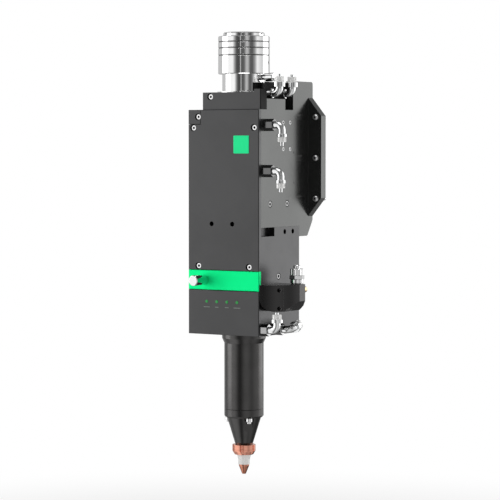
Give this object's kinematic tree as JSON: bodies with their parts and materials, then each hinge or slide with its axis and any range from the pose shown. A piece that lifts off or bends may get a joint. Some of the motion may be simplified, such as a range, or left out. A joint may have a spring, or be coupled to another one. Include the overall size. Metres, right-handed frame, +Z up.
{
  "type": "laser cutting head",
  "caption": "Tall laser cutting head with a fibre receiver on top, a green window drawer, side hose elbows, a side bracket and a copper nozzle.",
  "frame": {"origin": "centre of the nozzle's orifice at its tip, on the beam axis", "axes": "+Z up along the beam axis to the fibre receiver, -Y to the front cover, +X to the bracket"},
  "size_m": [0.1414, 0.1605, 0.5524],
  "materials": {
    "housing_grey": "fine matt grey anodised",
    "bracket_grey": "satin grey anodised",
    "block_black": "satin black anodised",
    "deep_black": "matt black anodised",
    "tube_black": "satin black anodised, turned",
    "drawer_green": "bright green anodised",
    "light_green": "clear green lens",
    "cap_steel": "bright steel",
    "polished_steel": "mirror polished",
    "fitting_chrome": "bright plated",
    "copper": "turned copper",
    "brass": "turned brass",
    "ceramic_white": "glazed white ceramic",
    "inner_aluminium": "machined",
    "motor_black": "black painted",
    "lens_glass": "clear optical glass",
    "seal_rubber": "black"
  },
  "bodies": {
    "head": {"main_housing": "housing_grey", "front_cover": "housing_grey", "corner_block": "housing_grey", "lower_panel": "housing_grey", "rear_cover": "housing_grey", "indicator_lights": "light_green", "top_block": "housing_grey", "land_plate": "deep_black", "water_block": "deep_black", "mounting_bracket": "bracket_grey", "flange_bolts": "cap_steel", "cover_screws": "cap_steel", "side_screws": "cap_steel", "receiver_body": "polished_steel", "receiver_port": "polished_steel", "receiver_window": "lens_glass", "collimator_barrel": "inner_aluminium", "collimating_lens": "lens_glass", "collimator_retainer": "inner_aluminium", "focus_motor": "motor_black", "guide_rods": "cap_steel", "screw_bearing": "cap_steel", "gas_manifold": "block_black", "manifold_cover": "block_black", "manifold_screws": "block_black", "gas_fitting": "polished_steel", "brass_plug": "brass", "nozzle_collar": "tube_black", "nozzle_tube": "tube_black", "tube_ring": "tube_black", "sensor_cone": "tube_black", "sensor_connectors": "cap_steel", "ceramic_ring": "ceramic_white", "lock_ring": "copper", "nozzle": "copper", "elbow_studs": "fitting_chrome"},
    "window_drawer": {"drawer_front": "drawer_green", "drawer_tray": "inner_aluminium", "window_seal": "seal_rubber", "window_glass": "lens_glass", "window_retainer": "inner_aluminium"},
    "drawer_thumbscrew": {"drawer_knob": "polished_steel"},
    "sleeve": {"locking_sleeve": "polished_steel"},
    "lens_carriage": {"focus_carriage": "inner_aluminium", "focusing_lens": "lens_glass", "lens_retainer": "inner_aluminium"},
    "focus_screw": {"lead_screw": "cap_steel", "screw_coupling": "cap_steel"},
    "swivel_upper_side": {"elbow_upper_side": "fitting_chrome", "nut_upper_side": "fitting_chrome"},
    "swivel_lower_side": {"elbow_lower_side": "fitting_chrome", "nut_lower_side": "fitting_chrome"},
    "swivel_front_top": {"elbow_front_top": "fitting_chrome", "nut_front_top": "fitting_chrome"},
    "swivel_rear_top": {"elbow_rear_top": "fitting_chrome", "nut_rear_top": "fitting_chrome"},
    "swivel_front_bottom": {"elbow_front_bottom": "fitting_chrome", "nut_front_bottom": "fitting_chrome"},
    "swivel_rear_bottom": {"elbow_rear_bottom": "fitting_chrome", "nut_rear_bottom": "fitting_chrome"}
  },
  "joints": [
    {"name": "drawer_slide", "type": "slide", "parent": "head", "child": "window_drawer", "axis": [0, -1, 0], "range_m": [0, 0.075]},
    {"name": "thumbscrew_turn", "type": "hinge", "parent": "window_drawer", "child": "drawer_thumbscrew", "pos_m": [-0.029, -0.047, 0.24545], "axis": [0, -1, 0], "continuous": true},
    {"name": "sleeve_turn", "type": "hinge", "parent": "head", "child": "sleeve", "pos_m": [0, 0, 0.5003], "axis": [0, 0, 1], "range_deg": [0, 45]},
    {"name": "focus_slide", "type": "slide", "parent": "head", "child": "lens_carriage", "axis": [0, 0, 1], "range_m": [-0.012, 0.012]},
    {"name": "focus_screw_turn", "type": "hinge", "parent": "head", "child": "focus_screw", "pos_m": [0, 0.026, 0.2638], "axis": [0, 0, 1], "range_deg": [-1081, 1081]},
    {"name": "upper_side_swivel", "type": "hinge", "parent": "head", "child": "swivel_upper_side", "pos_m": [0.052, -0.0323, 0.4369], "axis": [1, 0, 0], "continuous": true},
    {"name": "lower_side_swivel", "type": "hinge", "parent": "head", "child": "swivel_lower_side", "pos_m": [0.052, -0.035, 0.3806], "axis": [1, 0, 0], "continuous": true},
    {"name": "front_top_swivel", "type": "hinge", "parent": "head", "child": "swivel_front_top", "pos_m": [0.042, -0.0125, 0.4758], "axis": [1, 0, 0], "range_deg": [-20, 160]},
    {"name": "rear_top_swivel", "type": "hinge", "parent": "head", "child": "swivel_rear_top", "pos_m": [0.042, 0.0169, 0.4758], "axis": [1, 0, 0], "range_deg": [-160, 20]},
    {"name": "front_bottom_swivel", "type": "hinge", "parent": "head", "child": "swivel_front_bottom", "pos_m": [0.052, -0.038, 0.1858], "axis": [1, 0, 0], "range_deg": [-15, 165]},
    {"name": "rear_bottom_swivel", "type": "hinge", "parent": "head", "child": "swivel_rear_bottom", "pos_m": [0.052, -0.0085, 0.1853], "axis": [1, 0, 0], "range_deg": [-115, 40]}
  ],
  "couplings": [
    {"joint": "focus_screw_turn", "follows": "focus_slide", "rad_per_m": 1570.8}
  ]
}
